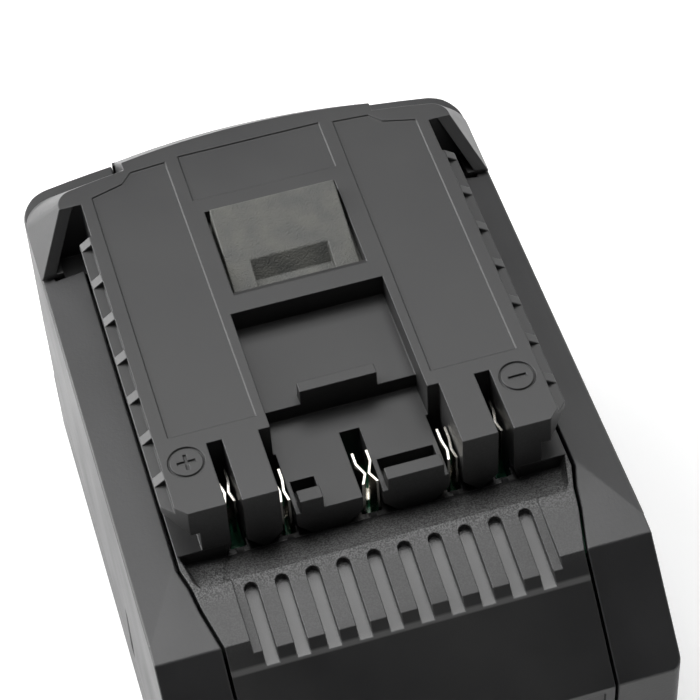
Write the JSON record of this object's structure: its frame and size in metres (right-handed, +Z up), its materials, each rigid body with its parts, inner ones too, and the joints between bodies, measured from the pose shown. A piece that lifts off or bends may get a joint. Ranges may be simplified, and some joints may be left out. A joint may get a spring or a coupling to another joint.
{
  "type": "power tool battery pack",
  "caption": "Slide-on battery pack for a cordless tool: black case with a T-shaped rail, terminal block with fork contacts, sprung catch and release button",
  "frame": {"origin": "bottom centre of the bounding box of the whole pack", "axes": "+Z up, +Y to the rear wall with the release button, -Y is the end that slides onto the tool first, +X to the side of the minus contact"},
  "size_m": [0.0744, 0.114, 0.067],
  "materials": {
    "bead_black": "epoxy bead",
    "board_green": "solder mask",
    "button_red": "satin red moulding",
    "case_black": "satin black moulding",
    "catch_grey": "rough spark-textured nylon",
    "cell_wrap": "shrink sleeve on steel can",
    "contact_nickel": "bright nickel plate",
    "cover_black": "satin black moulding",
    "foam": "closed cell foam",
    "holder_plastic": "plain moulding",
    "insulator_paper": "fibre sheet",
    "pan_black": "satin black moulding",
    "screw_steel": "zinc plated steel",
    "spring_steel": "drawn spring wire",
    "strip_nickel": "rolled nickel"
  },
  "bodies": {
    "pack": {"base_pan": "pan_black", "board_screws": "screw_steel", "body_case": "case_black", "case_screws": "screw_steel", "cell_1_high": "cell_wrap", "cell_1_low": "cell_wrap", "cell_2_high": "cell_wrap", "cell_2_low": "cell_wrap", "cell_3_high": "cell_wrap", "cell_3_low": "cell_wrap", "cell_4_high": "cell_wrap", "cell_4_low": "cell_wrap", "cell_5_high": "cell_wrap", "cell_5_low": "cell_wrap", "cell_holder_left": "holder_plastic", "cell_holder_right": "holder_plastic", "circuit_board": "board_green", "contact_middle": "contact_nickel", "contact_minus": "contact_nickel", "contact_plus": "contact_nickel", "contact_sense_left": "contact_nickel", "contact_sense_right": "contact_nickel", "foam_pad": "foam", "insulator_left": "insulator_paper", "insulator_right": "insulator_paper", "strip_left_front": "strip_nickel", "strip_left_middle": "strip_nickel", "strip_left_rear": "strip_nickel", "strip_right_front": "strip_nickel", "strip_right_middle": "strip_nickel", "strip_right_rear": "strip_nickel", "thermistor": "bead_black", "top_cover": "cover_black"},
    "latch": {"latch_catch": "catch_grey", "release_button": "button_red", "latch_spring_left": "spring_steel", "latch_spring_right": "spring_steel"}
  },
  "joints": [
    {"name": "latch_slide", "type": "slide", "parent": "pack", "child": "latch", "axis": [0, 0, -1], "range_m": [0, 0.0035], "stiffness_N_per_m": 1200, "springref_m": -0.004, "deforming": ["latch_spring_left", "latch_spring_right"]}
  ]
}
